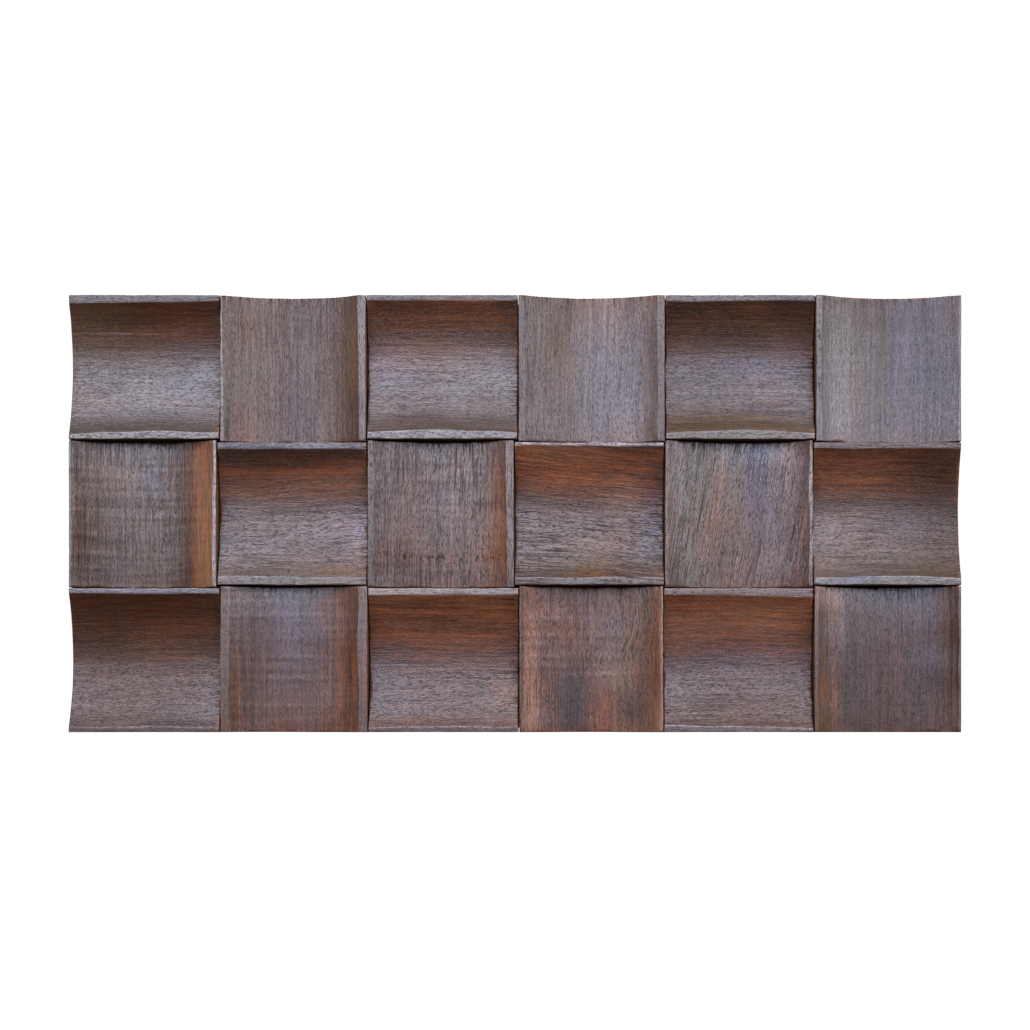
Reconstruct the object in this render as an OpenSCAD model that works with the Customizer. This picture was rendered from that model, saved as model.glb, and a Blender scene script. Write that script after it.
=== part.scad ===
// Carved wood wall panel: scooped hardwood blocks in a chequer of level and upright grain,
// glued and screwed from behind to a plywood board that hangs on two keyhole plates.
// Frame: +Z up the wall, +X to the viewer's right, -Y out of the wall.
// The origin is the centre of the board's back, in the plane of the wall.

/* [Panel] */
// Width of the panel over its outer blocks
panel_w = 600; // [570:5:630]
// Height of the panel over its outer blocks
panel_h = 294; // [288:1:306]
// Open joint between two neighbouring blocks
joint = 0.6; // [0.4:0.1:1]

/* [Blocks] */
// Thickness of a block at its lands, the flat rims beside the scoop
block_t = 20; // [18:0.5:24]
// Radius of the cutter that hollows every block
scoop_r = 85; // [80:1:110]
// How far a row joint steps up or down from one column to the next
row_step = 0.7; // [0:0.1:1]

/* [Backing board] */
// Thickness of the plywood
board_t = 9; // [9:0.5:12]
// How far the board stays back from the panel's outline
board_inset = 3; // [2:1:10]
// Thickness of the glue under a block
glue_t = 0.3; // [0.2:0.1:0.6]
// Bare margin round each glue pad
glue_margin = 6; // [4:1:10]

/* [Block screws] */
// Outer diameter of a screw
screw_d = 3.5; // [3:0.5:4]
// Length of a block screw over its countersunk head
screw_len = 16; // [14:1:16]
// Diameter of a countersunk head
head_d = 7; // [6:0.5:8]
// Distance of a screw from the middle of its block, across and up
screw_reach = 34; // [28:1:35]

/* [Hangers] */
// Distance between the two keyholes
hang_spacing = 500; // [480:10:510]
// Width of a keyhole plate
plate_w = 18; // [16:1:24]
// Height of a keyhole plate
plate_h = 52; // [48:1:56]
// Thickness of a keyhole plate
plate_t = 1.5; // [1:0.25:2]
// Diameter of the keyhole's round entry
key_d = 10; // [8:0.5:11]
// Width of the keyhole's slot
slot_w = 4.6; // [4:0.2:5]
// Rise from the middle of the entry to the middle of the slot's end
slot_rise = 14; // [12:1:16]
// Distance from the plate's middle to each of its two screws
plate_screw = 21; // [20:0.5:21]
// Length of a hanger screw over its head
hanger_screw_len = 12; // [11:0.5:13]

/* [Hidden] */
$fn = 96;
eps = 0.01;

// One entry for each block, by rows from the top: the width of its first land, the width of
// its second land, and the turn of its scoop in degrees. A level block, whose grain runs
// across the panel, has its lands at the top and bottom. An upright one has them left and right.
lands = [
    [[4.7, 4.7, 0.8], [1.2, 4.6, 0.8], [3.6, 5.2, 0.0], [3.5, 4.6, 0.3], [3.8, 5.0, 0.0], [3.6, 1.0, 0.0]],
    [[1.0, 1.2, 0.0], [4.4, 5.4, 0.0], [3.6, 4.6, 0.8], [2.0, 5.0, 0.0], [2.2, 2.0, 0.0], [3.6, 5.4, 0.0]],
    [[3.7, 3.4, 0.0], [5.5, 5.6, 0.0], [4.5, 3.2, 0.3], [1.0, 1.6, 0.0], [4.8, 3.8, -0.8], [2.0, 1.2, 0.0]]
];

// How far each upright joint slipped to the right when its row was laid
slips = [
    [1.5, 0.0, 2.0, 1.0, 2.0],
    [-0.5, 0.5, -0.5, 0.5, 0.5],
    [1.5, 1.0, 2.5, 0.0, 1.0]
];

rows = len(lands);
columns = len(lands[0]);
front = board_t + glue_t + block_t;      // depth from the wall to the lands
board_w = panel_w - 2 * board_inset;
board_h = panel_h - 2 * board_inset;
plate_z = panel_h / 2 - panel_h / rows / 2;   // height of the plates' middle
slot_z = plate_z + slot_rise / 2;
key_z = plate_z - slot_rise / 2;
pocket_w = key_d + 1;                    // clearance behind a plate for the wall screw's head
screw_slack = 0.05;                      // radial room of a screw in the plywood

function level(r, c) = (r + c) % 2 == 0;

// Edges of the cell of a block in row r and column c, both counted from 0
function seam_x(r, k) =
    -panel_w / 2 + k * panel_w / columns + (k == 0 || k == columns ? 0 : slips[r][k - 1]);
function seam_z(c, k) =
    panel_h / 2 - k * panel_h / rows + (k == 0 || k == rows ? 0 : level(k, c) ? -row_step : row_step);

// Edges of the block itself, which gives up half a joint on each inner side
function left_x(r, c) = seam_x(r, c) + (c == 0 ? 0 : joint / 2);
function right_x(r, c) = seam_x(r, c + 1) - (c == columns - 1 ? 0 : joint / 2);
function top_z(r, c) = seam_z(c, r) - (r == 0 ? 0 : joint / 2);
function bottom_z(r, c) = seam_z(c, r + 1) + (r == rows - 1 ? 0 : joint / 2);
function mid_x(r, c) = (left_x(r, c) + right_x(r, c)) / 2;
function mid_z(r, c) = (top_z(r, c) + bottom_z(r, c)) / 2;
function across(r, c) = level(r, c) ? top_z(r, c) - bottom_z(r, c) : right_x(r, c) - left_x(r, c);

// The scoop: half its chord, its depth, and how far its middle is off the block's middle,
// down on a level block and to the right on an upright one
function half_chord(r, c) = (across(r, c) - lands[r][c][0] - lands[r][c][1]) / 2;
function scoop_depth(r, c) = scoop_r - sqrt(pow(scoop_r, 2) - pow(half_chord(r, c), 2));
function scoop_shift(r, c) = (lands[r][c][0] - lands[r][c][1]) / 2;

// The two screws of a block stand on a diagonal that changes from block to block
function screw_points(r, c) = [
    for (side = [-1, 1])
        [mid_x(r, c) + side * screw_reach, mid_z(r, c) + side * screw_reach * (level(r, c) ? 1 : -1)]
];
ALL_SCREWS = [for (r = [0:rows - 1], c = [0:columns - 1], p = screw_points(r, c)) p];
HANGERS = [-hang_spacing / 2, hang_spacing / 2];
HANGER_SCREWS = [for (x = HANGERS, side = [-1, 1]) [x, plate_z + side * plate_screw]];

// A box given by its left, right, bottom and top edges and by its depth from and to, off the wall
module slab(x0, x1, z0, z1, y0, y1) {
    translate([x0, -y1, z0]) cube([x1 - x0, y1 - y0, z1 - z0]);
}

// A round bar that starts y0 off the wall and ends y1 off it
module bar(p, d, y0, y1) {
    translate([p[0], -y0, p[1]]) rotate([90, 0, 0]) cylinder(h = y1 - y0, d = d);
}

// The cone of a countersunk head, whose rim is y off the wall
module head_cone(p, y, d_rim, d_neck) {
    translate([p[0], -y, p[1]]) rotate([90, 0, 0])
        cylinder(h = (d_rim - d_neck) / 2, d1 = d_rim, d2 = d_neck);
}

module scoop_cutter(r, c) {
    past = 20;                           // how far the cutter runs beyond the block's ends
    bar_len = max(right_x(r, c) - left_x(r, c), top_z(r, c) - bottom_z(r, c)) + 2 * past;
    shift = scoop_shift(r, c);
    off = level(r, c) ? [0, 0, -shift] : [shift, 0, 0];
    translate([mid_x(r, c), -front + scoop_depth(r, c) - scoop_r, mid_z(r, c)])
        rotate([0, -lands[r][c][2], 0])
            translate(off)
                rotate(level(r, c) ? [0, 90, 0] : [0, 0, 0])
                    cylinder(h = bar_len, r = scoop_r, center = true, $fn = 240);
}

module block(r, c) {
    back = board_t + glue_t;
    pilot = screw_len + 0.5;             // depth of the screw's pilot hole, off the wall
    color(level(r, c) ? "#5d4640" : "#6e5f5c") difference() {
        slab(left_x(r, c), right_x(r, c), bottom_z(r, c), top_z(r, c), back, front);
        scoop_cutter(r, c);
        for (p = screw_points(r, c)) bar(p, screw_d, back - eps, pilot);
        for (p = HANGER_SCREWS)
            if (p[0] > left_x(r, c) && p[0] < right_x(r, c) && p[1] > bottom_z(r, c) && p[1] < top_z(r, c))
                bar(p, screw_d, back - eps, hanger_screw_len + 0.5);
    }
}

// The pocket behind a keyhole, with round ends: a wall screw's head enters below and rises
module key_pocket(x, y0, y1) {
    for (z = [key_z, slot_z]) bar([x, z], pocket_w, y0, y1);
    slab(x - pocket_w / 2, x + pocket_w / 2, key_z, slot_z, y0, y1);
}

module plate_outline(x, grow, y0, y1) {
    corner = plate_w / 4;
    w = plate_w / 2 - corner + grow;
    h = plate_h / 2 - corner + grow;
    slab(x - w, x + w, plate_z - h - corner, plate_z + h + corner, y0, y1);
    slab(x - w - corner, x + w + corner, plate_z - h, plate_z + h, y0, y1);
    for (i = [-1, 1], j = [-1, 1]) bar([x + i * w, plate_z + j * h], 2 * corner, y0, y1);
}

module backing_board() {
    hole_d = screw_d + 2 * screw_slack;
    color("#c9a878") difference() {
        slab(-board_w / 2, board_w / 2, -board_h / 2, board_h / 2, 0, board_t);
        for (p = ALL_SCREWS) {
            bar(p, hole_d, -eps, board_t + eps);
            head_cone(p, 0, head_d + 2 * screw_slack, hole_d);
        }
        for (x = HANGERS) {
            plate_outline(x, 0.1, -eps, plate_t);
            key_pocket(x, plate_t - eps, board_t + eps);
        }
        for (p = HANGER_SCREWS) bar(p, hole_d, 0, board_t + eps);
    }
}

module glue_pads() {
    color("#d8cfae") for (r = [0:rows - 1], c = [0:columns - 1]) difference() {
        slab(
            max(left_x(r, c), -board_w / 2) + glue_margin, min(right_x(r, c), board_w / 2) - glue_margin,
            max(bottom_z(r, c), -board_h / 2) + glue_margin, min(top_z(r, c), board_h / 2) - glue_margin,
            board_t, board_t + glue_t
        );
        for (p = concat(screw_points(r, c), HANGER_SCREWS)) bar(p, screw_d + 1, board_t - eps, front);
        for (x = HANGERS) key_pocket(x, board_t - eps, front);
    }
}

// A countersunk wood screw with a cross recess. Its head's rim is y off the wall.
module wood_screw(p, y, len) {
    tip = 3;
    neck = y + (head_d - screw_d) / 2;
    difference() {
        union() {
            head_cone(p, y, head_d, screw_d);
            bar(p, screw_d, neck, y + len - tip);
            translate([p[0], -(y + len - tip), p[1]]) rotate([90, 0, 0])
                cylinder(h = tip, d1 = screw_d, d2 = screw_d / 6);
        }
        for (turn = [45, 135]) translate([p[0], -y, p[1]]) rotate([0, turn, 0])
            cube([0.6 * head_d, 2.6, 0.9], center = true);
    }
}

module block_screws() {
    color("#b9a45c") for (p = ALL_SCREWS) wood_screw(p, 0.1, screw_len - 0.1);
}

module keyhole_plate(x) {
    color("#b8bcc0") difference() {
        plate_outline(x, 0, 0, plate_t);
        bar([x, key_z], key_d, -eps, plate_t + eps);
        bar([x, slot_z], slot_w, -eps, plate_t + eps);
        slab(x - slot_w / 2, x + slot_w / 2, key_z, slot_z, -eps, plate_t + eps);
        for (side = [-1, 1]) {
            p = [x, plate_z + side * plate_screw];
            bar(p, screw_d + 2 * screw_slack, -eps, plate_t + eps);
            head_cone(p, 0, head_d + 2 * screw_slack, screw_d + 2 * screw_slack);
        }
    }
}

module hanger_screws() {
    color("#a9adb2") for (p = HANGER_SCREWS) wood_screw(p, 0.1, hanger_screw_len - 0.1);
}

for (r = [0:rows - 1], c = [0:columns - 1])
    block(r, c);
backing_board();
glue_pads();
block_screws();
keyhole_plate(HANGERS[0]);  // hanger_left
keyhole_plate(HANGERS[1]);  // hanger_right
hanger_screws();
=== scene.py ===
"""Looks of the carved wood wall panel: worked hardwood blocks, plywood, glue, metal and a plain studio.

The frame gives every place and size. Each block is rebuilt as a piece of worked wood inside its
CAD solid: a closed mesh whose front carries the scoop, the flat lands, the worn edges, the pores
and the tool marks. Lengths in this file are metres unless a name or a comment says mm.
"""

import math

import bmesh
import bpy
import numpy as np
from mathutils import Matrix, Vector
from mathutils.geometry import tessellate_polygon


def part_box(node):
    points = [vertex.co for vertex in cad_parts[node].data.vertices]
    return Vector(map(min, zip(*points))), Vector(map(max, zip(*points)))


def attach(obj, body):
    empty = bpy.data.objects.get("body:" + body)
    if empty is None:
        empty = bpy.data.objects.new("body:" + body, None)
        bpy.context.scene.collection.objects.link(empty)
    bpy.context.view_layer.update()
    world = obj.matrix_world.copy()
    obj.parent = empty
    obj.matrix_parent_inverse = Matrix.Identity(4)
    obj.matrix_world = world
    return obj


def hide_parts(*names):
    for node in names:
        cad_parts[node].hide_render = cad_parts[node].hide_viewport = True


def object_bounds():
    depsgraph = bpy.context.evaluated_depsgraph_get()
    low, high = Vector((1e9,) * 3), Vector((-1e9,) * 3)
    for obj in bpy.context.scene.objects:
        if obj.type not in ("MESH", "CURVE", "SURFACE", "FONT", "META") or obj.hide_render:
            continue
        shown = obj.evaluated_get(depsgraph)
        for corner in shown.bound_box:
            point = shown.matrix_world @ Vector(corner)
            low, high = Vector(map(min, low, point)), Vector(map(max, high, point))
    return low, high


MM = 0.001
TINY = 1e-5
X, Y, Z = 0, 1, 2

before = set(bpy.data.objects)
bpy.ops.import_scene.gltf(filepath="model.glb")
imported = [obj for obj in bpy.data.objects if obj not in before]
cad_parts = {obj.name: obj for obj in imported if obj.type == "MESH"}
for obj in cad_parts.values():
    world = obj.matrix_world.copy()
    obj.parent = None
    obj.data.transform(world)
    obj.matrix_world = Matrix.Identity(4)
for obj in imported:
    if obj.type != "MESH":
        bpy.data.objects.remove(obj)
cad_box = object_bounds()
FRONT = cad_box[0].y  # the plane of the lands

# ---------------------------------------------------------------- the blocks, one by one

SCOOP_RADIUS = 85 * MM
PILOT_RADIUS = 1.75 * MM
PILOT_FLOOR = -16.5 * MM  # where the block screws' pilot holes end
HANGER_PILOT_FLOOR = -12.5 * MM  # where the hanger screws' pilot holes end
SCREW_REACH = 34 * MM  # from a block's middle to each of its screws, across and up
HANGER_SCREW_REACH = 21 * MM  # from a hanger's middle to each of its screws, up and down
SEED = 700  # of the first block's random draws

# What sets one block apart. polish: how strongly it shines. slant: lean of the grain in degrees.
# wave: how far the grain wanders. lines: how many long dark lines it has. pores: how dark its pores
# are. reach: how long they are. chatter: marks of the tool across the grain. tone: lighter or
# darker. warm: how orange the whole block is. side and glow: where it turns more orange, and how
# much. grey: how grey its lands are. bulge: how far its bottom land swells in the middle, in mm. brim:
# how much wider than drawn its second land is worn, in mm.
PLAIN = dict(polish=1.0, slant=0, wave=1.0, lines=0.6, pores=1.0, reach=1.0, chatter=0.15)
PLAIN.update(tone=0.0, warm=0.0, side="", glow=0.0, grey=0.7, bulge=0.0, brim=0.0)
TOP = dict(PLAIN, side="top")
LEFT = dict(PLAIN, side="left")
RIGHT = dict(PLAIN, side="right")
BLOCKS = {
    "block_r1_c1": dict(TOP, polish=1.22, lines=0.2, pores=0.65, reach=0.9, glow=0.5, bulge=1.6),
    "block_r1_c2": dict(RIGHT, polish=0.79, wave=0.5, lines=0.3, pores=0.75, reach=0.9, glow=0.25),
    "block_r1_c3": dict(TOP, polish=1.22, wave=1.3, lines=0.3, pores=0.7, warm=0.05, glow=0.5, bulge=2.2),
    "block_r1_c4": dict(PLAIN, slant=-1.5, wave=0.6, lines=0.4, pores=0.7, tone=0.1),
    "block_r1_c5": dict(TOP, wave=1.4, lines=0.2, pores=0.65, tone=-0.1, glow=0.4, bulge=2.2),
    "block_r1_c6": dict(PLAIN, polish=0.92, wave=0.5, lines=0.0, pores=0.4, chatter=0.3, tone=-0.1),
    "block_r2_c1": dict(RIGHT, wave=0.5, lines=1.4, pores=0.9, reach=1.2, chatter=1, glow=0.9, brim=1),
    "block_r2_c2": dict(TOP, slant=-1, wave=2.0, lines=0.9, warm=0.1, glow=0.7),
    "block_r2_c3": dict(
        PLAIN, slant=-1, wave=0.9, lines=1.1, pores=1.15, reach=1.3, chatter=0.6, warm=0.1, grey=0.5
    ),
    "block_r2_c4": dict(
        TOP, slant=5, wave=1.4, lines=1.9, pores=1.3, reach=1.3, warm=0.12, glow=0.85, brim=0.5
    ),
    "block_r2_c5": dict(PLAIN, slant=-10, wave=1.2, lines=1.3, pores=1.15, reach=1.1, warm=0.15, grey=0.5),
    "block_r2_c6": dict(TOP, polish=0.82, wave=1.6, lines=0.9, pores=0.8, warm=0.08, glow=0.65, bulge=2),
    "block_r3_c1": dict(TOP, polish=0.71, wave=1.5, lines=0.1, pores=0.8, reach=0.8, warm=0.08, glow=0.65),
    "block_r3_c2": dict(
        RIGHT, wave=0.5, lines=0.0, pores=0.7, reach=0.5, chatter=0.55, warm=0.1, glow=0.45, grey=0.4
    ),
    "block_r3_c3": dict(TOP, polish=0.82, wave=1.6, lines=0.4, pores=0.9, reach=0.8, warm=0.2, glow=0.8),
    "block_r3_c4": dict(
        LEFT, wave=1.2, lines=0.4, pores=1.1, reach=0.6, tone=0.1, warm=0.5, glow=0.4, grey=0.2
    ),
    "block_r3_c5": dict(TOP, polish=0.82, wave=1.8, lines=0.3, pores=0.9, reach=0.8, warm=0.15, glow=0.9),
    "block_r3_c6": dict(LEFT, wave=1.0, lines=0.1, pores=0.9, reach=0.8, tone=-0.2, glow=0.25, grey=0.4),
}

# How strongly each block's two lands shine: the bottom and the top one, or the left and the right one.
LANDS = {
    "block_r1_c1": (1.85, 0.85),
    "block_r1_c2": (1.5, 1.1),
    "block_r1_c3": (1.8, 1.0),
    "block_r1_c4": (0.9, 0.8),
    "block_r1_c5": (1.2, 0.95),
    "block_r1_c6": (1.05, 1.35),
    "block_r2_c1": (1.9, 2.3),
    "block_r2_c2": (1.65, 1.25),
    "block_r2_c3": (1.05, 1.4),
    "block_r2_c4": (1.6, 2.6),
    "block_r2_c5": (1.2, 2.0),
    "block_r2_c6": (1.9, 0.9),
    "block_r3_c1": (0.8, 1.9),
    "block_r3_c2": (1.1, 1.35),
    "block_r3_c3": (1.0, 2.5),
    "block_r3_c4": (0.6, 1.5),
    "block_r3_c5": (1.8, 1.5),
    "block_r3_c6": (1.1, 1.2),
}

# Spots where a block differs: (what, right, up, radius right, radius up, how much), with places and
# radii as shares of the block. sheen: polish. pale: lighter wood where positive, darker where
# negative; where it darkens the top of a level block's scoop, which faces down, it is painted shade.
# rust: oranger wood. olive: greener wood. cool: bluish shine. tear: torn, pitted grain. chatter: marks
# of the tool. curl: how far the grain curls there, and bow: how far it bows around that spot, both in mm.
SPOTS = {
    "block_r1_c1": [
        ("sheen", 0.5, 1.0, 1.5, 0.3, -0.85),
        # painted shade: darker top of the scoop, which faces down
        ("pale", 0.5, 1.0, 1.5, 0.35, -0.7),
        ("sheen", 0.05, 0.3, 0.15, 0.1, -0.2),
        ("sheen", 0.95, 0.5, 0.15, 0.1, 0.3),
        ("sheen", 0.35, 0.745, 0.35, 0.006, 1.2),
        ("tear", 0.5, 0.02, 1.0, 0.03, 0.5),
        ("sheen", 0.5, 0.3, 1.5, 0.2, 0.12),
        ("cool", 0.75, 0.4, 0.12, 0.08, 0.5),
        ("pale", 0.5, 0.1, 1.5, 0.12, -0.2),
        ("olive", 0.1, 0.8, 0.3, 0.4, 0.5),
        ("olive", 0.5, 0.05, 1.5, 0.15, 0.5),
        ("sheen", 0.1, 0.65, 0.25, 0.3, -0.12),
    ],
    "block_r1_c2": [
        ("sheen", 0.35, 0.25, 0.2, 0.3, -0.1),
        ("sheen", 0.12, 0.8, 0.25, 0.4, -0.25),
        ("sheen", 0.12, 0.1, 0.25, 0.25, -0.15),
        ("cool", 0.5, 0.3, 0.15, 0.6, 0.3),
        ("rust", 1.0, 0.5, 0.12, 0.4, 0.3),
        ("rust", 0.1, 0.5, 0.25, 0.8, 0.1),
        ("olive", 0.05, 0.7, 0.25, 0.6, 0.8),
        ("olive", 0.95, 0.7, 0.15, 0.6, 0.8),
    ],
    "block_r1_c3": [
        ("sheen", 0.5, 1.0, 1.5, 0.25, -0.4),
        ("sheen", 0.6, 0.745, 0.3, 0.006, 1.0),
        ("tear", 0.5, 0.02, 1.0, 0.03, 0.5),
        # painted shade: these two spots darken the top of the scoop, which faces down
        ("pale", 0.1, 0.9, 0.3, 0.3, -0.4),
        ("pale", 0.95, 1.0, 0.15, 0.15, -0.6),
        ("sheen", 0.2, 0.3, 0.25, 0.08, -0.12),
        ("cool", 0.25, 0.42, 0.15, 0.06, 0.5),
        ("cool", 0.9, 0.5, 0.12, 0.12, 0.3),
        ("sheen", 0.7, 0.68, 0.12, 0.1, 0.15),
        ("sheen", 0.75, 0.3, 0.2, 0.1, -0.12),
        ("pale", 0.5, 0.1, 1.5, 0.12, -0.2),
        ("sheen", 0.7, 0.12, 0.4, 0.12, -0.1),
        ("olive", 0.5, 0.05, 1.5, 0.12, 0.4),
        ("cool", 0.12, 0.6, 0.2, 0.2, 0.4),
    ],
    "block_r1_c4": [
        ("sheen", 0.2, 0.7, 0.25, 0.6, -0.2),
        ("sheen", 0.27, 0.72, 0.12, 0.2, -0.38),
        ("sheen", 0.5, 0.93, 0.2, 0.12, -0.12),
        ("sheen", 0.5, 1.0, 0.6, 0.12, -0.12),
        ("sheen", 0.65, 0.35, 0.15, 0.4, 0.2),
        ("sheen", 0.75, 0.15, 0.25, 0.3, 0.08),
        ("cool", 0.65, 0.4, 0.2, 0.5, 0.6),
        ("olive", 0.2, 0.8, 0.25, 0.5, 0.8),
    ],
    "block_r1_c5": [
        ("sheen", 0.5, 1.0, 1.5, 0.35, -0.5),
        # painted shade: darker top of the scoop, which faces down
        ("pale", 0.6, 1.0, 1.0, 0.35, -0.45),
        ("sheen", 0.3, 0.1, 0.7, 0.12, -0.42),
        ("cool", 0.5, 0.3, 0.5, 0.1, 0.2),
        ("sheen", 0.95, 0.85, 0.25, 0.3, -0.2),
        # painted shade: darker top right
        ("pale", 0.95, 0.95, 0.3, 0.2, -0.2),
        ("cool", 0.6, 0.5, 0.6, 0.15, 0.5),
        ("olive", 0.5, 0.05, 1.5, 0.12, 0.8),
    ],
    "block_r1_c6": [
        ("sheen", 0.0, 0.25, 0.2, 0.5, 1.45),
        ("cool", 0.0, 0.4, 0.15, 0.6, 0.2),
        ("sheen", 0.3, 1.0, 0.15, 0.2, -0.25),
        ("sheen", 1.0, 0.3, 0.15, 0.8, 0.2),
        ("cool", 1.0, 0.5, 0.03, 1.0, 0.5),
        ("sheen", 0.6, 1.0, 0.6, 0.35, -0.2),
        ("cool", 0.65, 0.5, 0.25, 0.6, 0.8),
        ("pale", 0.65, 0.5, 0.3, 0.8, -0.2),
        ("tear", 0.02, 0.6, 0.015, 0.4, 0.8),
        ("sheen", 0.45, 0.8, 0.12, 0.15, -0.2),
        ("sheen", 0.5, 0.08, 0.15, 0.1, 0.2),
        ("olive", 0.2, 0.7, 0.2, 0.5, 0.9),
    ],
    "block_r2_c1": [
        ("sheen", 0.0, 0.4, 0.25, 0.7, -0.62),
        ("sheen", 0.4, 0.03, 0.6, 0.12, -0.14),
        ("sheen", 0.72, 0.7, 0.12, 0.15, -0.35),
        ("sheen", 0.8, 0.1, 0.15, 0.6, -0.2),
        ("sheen", 0.45, 0.9, 0.25, 0.25, 0.2),
        ("cool", 0.55, 0.75, 0.08, 0.12, 0.7),
        ("rust", 0.7, 0.35, 0.12, 0.4, -0.45),
        ("pale", 0.95, 0.4, 0.12, 0.6, 0.5),
        ("pale", 0.78, 0.4, 0.06, 0.5, -0.3),
        ("rust", 0.5, 0.955, 0.02, 0.02, 0.8),
        ("bow", 0.5, 0.955, 0.03, 0.04, 1.5),
        ("sheen", 0.0, 0.5, 0.03, 1.0, 0.7),
        ("cool", 1.0, 0.5, 0.06, 1.0, 0.25),
        ("olive", 0.5, 0.5, 1.5, 1.5, 0.3),
        ("olive", 1.0, 0.4, 0.12, 1.0, 0.4),
    ],
    "block_r2_c2": [
        # painted shade: darker top of the scoop, under the top land
        ("pale", 0.3, 1.0, 0.5, 0.15, -1.0),
        ("sheen", 0.4, 1.0, 0.6, 0.2, -0.5),
        ("pale", 0.75, 0.72, 0.3, 0.12, 0.25),
        ("sheen", 0.1, 0.15, 0.4, 0.2, 0.2),
        ("rust", 0.1, 0.3, 0.12, 0.12, -0.3),
        ("cool", 0.95, 0.35, 0.2, 0.15, 0.5),
        ("curl", 0.9, 0.5, 0.15, 0.3, 0.6),
        ("sheen", 0.95, 0.4, 0.12, 0.2, 0.3),
        # painted shade: darker along the top, under the top land
        ("pale", 0.5, 1.0, 1.0, 0.12, -0.8),
        ("rust", 0.5, 1.0, 0.6, 0.15, -0.4),
        ("cool", 0.85, 0.9, 0.25, 0.12, 0.6),
        ("sheen", 0.95, 0.7, 0.25, 0.2, 0.25),
        ("cool", 0.1, 1.0, 0.3, 0.04, 0.8),
        ("sheen", 0.5, 0.7, 0.12, 0.12, 0.5),
        ("sheen", 0.3, 0.3, 0.12, 0.1, 0.2),
        ("pale", 0.95, 0.3, 0.12, 0.12, 0.25),
        ("rust", 0.85, 0.45, 0.15, 0.15, 0.3),
        ("olive", 0.5, 0.05, 1.5, 0.12, 0.5),
    ],
    "block_r2_c3": [
        ("sheen", 0.05, 0.1, 0.25, 0.3, -0.25),
        ("sheen", 0.7, 0.6, 0.15, 0.5, 0.15),
        ("sheen", 0.75, 0.9, 0.3, 0.15, 0.1),
        ("rust", 0.93, 0.5, 0.12, 0.4, 0.4),
        ("pale", 0.93, 0.5, 0.1, 0.4, 0.2),
        ("tear", 0.55, 0.21, 0.6, 0.03, 0.8),
        ("sheen", 0.6, 0.6, 0.2, 0.35, 0.22),
        ("sheen", 0.95, 0.27, 0.12, 0.12, -0.45),
        ("sheen", 0.15, 0.25, 0.2, 0.12, -0.1),
        ("rust", 0.65, 0.21, 0.4, 0.03, 0.3),
        ("sheen", 0.25, 0.3, 0.12, 0.1, -0.2),
        ("pale", 0.6, 0.5, 0.15, 0.12, 0.2),
    ],
    "block_r2_c4": [
        ("pale", 0.3, 0.95, 0.5, 0.12, 0.2),
        ("pale", 0.3, 0.75, 0.15, 0.12, 0.15),
        ("sheen", 0.8, 0.2, 0.15, 0.2, 0.12),
        ("pale", 0.75, 0.7, 0.2, 0.1, 0.2),
        ("sheen", 0.6, 0.1, 0.3, 0.12, -0.35),
        ("sheen", 0.7, 0.32, 0.15, 0.12, -0.45),
        ("sheen", 0.5, 0.08, 0.12, 0.1, -0.4),
        ("sheen", 0.05, 0.5, 0.15, 0.12, 0.4),
        ("sheen", 0.05, 0.12, 0.2, 0.2, 0.2),
        ("rust", 0.7, 0.4, 0.4, 0.08, -0.15),
        ("cool", 0.75, 0.35, 0.2, 0.12, 0.6),
        ("rust", 0.5, 0.05, 0.4, 0.08, 0.4),
        ("pale", 0.05, 0.2, 0.15, 0.3, 0.2),
        ("cool", 1.0, 0.7, 0.2, 0.5, 0.9),
        ("olive", 0.6, 0.1, 0.8, 0.3, 0.7),
    ],
    "block_r2_c5": [
        ("sheen", 0.05, 0.55, 0.12, 0.5, 0.65),
        ("pale", 0.05, 0.4, 0.12, 0.4, 0.2),
        ("sheen", 0.6, 0.95, 0.25, 0.12, 0.8),
        ("sheen", 1.0, 0.97, 0.12, 0.1, -0.4),
        ("sheen", 0.3, 0.85, 0.15, 0.2, -0.12),
        ("rust", 0.28, 0.45, 0.16, 0.25, 0.2),
        ("rust", 0.15, 0.5, 0.3, 0.8, 0.12),
        ("cool", 0.75, 0.5, 0.2, 0.6, 0.3),
        ("pale", 0.28, 0.5, 0.1, 0.2, 0.1),
        ("sheen", 0.45, 0.35, 0.15, 0.3, -0.12),
        ("cool", 0.65, 0.65, 0.1, 0.4, 0.8),
        ("sheen", 0.7, 0.4, 0.12, 0.6, 0.12),
        ("rust", 0.9, 0.45, 0.08, 0.4, 0.35),
        ("tear", 0.4, 0.24, 0.12, 0.015, 0.6),
        ("sheen", 0.85, 0.62, 0.15, 0.2, 0.25),
        ("olive", 0.2, 0.5, 0.35, 0.8, 1.0),
    ],
    "block_r2_c6": [
        ("sheen", 1.0, 0.5, 0.35, 0.7, -0.4),
        # painted shade: these two spots darken the upper part of the scoop, which faces down
        ("pale", 0.9, 0.8, 0.4, 0.4, -0.5),
        ("pale", 0.1, 1.0, 0.5, 0.15, -0.25),
        ("sheen", 0.15, 0.35, 0.25, 0.25, 0.22),
        ("cool", 0.3, 0.08, 0.15, 0.08, 0.8),
        ("sheen", 0.3, 0.08, 0.15, 0.08, 0.15),
        ("sheen", 0.8, 0.08, 0.2, 0.1, -0.2),
        ("sheen", 0.3, 0.5, 0.3, 0.1, 0.15),
        ("olive", 0.5, 0.05, 1.5, 0.15, 0.8),
    ],
    "block_r3_c1": [
        ("sheen", 0.3, 1.0, 1.0, 0.3, -0.5),
        # painted shade: darker top of the scoop, which faces down
        ("pale", 0.4, 1.0, 1.2, 0.25, -0.7),
        ("sheen", 0.6, 0.05, 1.0, 0.12, 0.3),
        # painted shade: darker top left
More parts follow.
